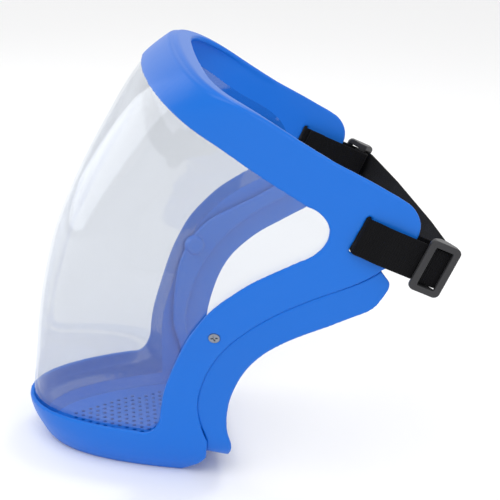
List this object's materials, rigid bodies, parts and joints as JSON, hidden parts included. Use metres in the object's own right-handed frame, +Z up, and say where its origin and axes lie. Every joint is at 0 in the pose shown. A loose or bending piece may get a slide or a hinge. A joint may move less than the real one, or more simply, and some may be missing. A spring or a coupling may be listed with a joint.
{
  "type": "full-face protective face shield",
  "caption": "Full-face protective shield: moulded brow-and-cheek frame with a clear curved visor, chin tray with vent grille, face seal and elastic head strap with sliders.",
  "frame": {"origin": "midway between the two strap slots, where the strap pivots beside the wearer's ears", "axes": "+Z up with the chin tray level, -Y the way the wearer looks, +X the wearer's left"},
  "size_m": [0.1868, 0.2193, 0.2323],
  "materials": {
    "frame_blue": "satin moulded, blue",
    "seal_blue": "soft satin, blue",
    "visor_clear": "clear polycarbonate sheet",
    "strap_black": "ribbed elastic webbing",
    "slider_black": "satin moulded, black",
    "steel": "bright zinc plated"
  },
  "bodies": {
    "shield": {"frame_shell": "frame_blue", "visor": "visor_clear", "face_seal": "seal_blue", "vent_grille": "frame_blue", "screw_left": "steel", "washer_left": "steel", "nut_left": "steel", "strap_fold_left": "strap_black", "screw_right": "steel", "washer_right": "steel", "nut_right": "steel", "strap_fold_right": "strap_black"},
    "strap": {"strap_main": "strap_black"},
    "left_slider": {"slider_left": "slider_black", "strap_end_left": "strap_black", "stitch_left": "strap_black"},
    "right_slider": {"slider_right": "slider_black", "strap_end_right": "strap_black", "stitch_right": "strap_black"}
  },
  "joints": [
    {"name": "strap_swing", "type": "hinge", "parent": "shield", "child": "strap", "pos_m": [0, 0, 0], "axis": [1, 0, 0], "range_deg": [-8, 15]},
    {"name": "slider_left_slide", "type": "slide", "parent": "strap", "child": "left_slider", "axis": [0, 0.9272, -0.3746], "range_m": [-0.006, 0]},
    {"name": "slider_right_slide", "type": "slide", "parent": "strap", "child": "right_slider", "axis": [0, 0.9272, -0.3746], "range_m": [-0.006, 0]}
  ]
}
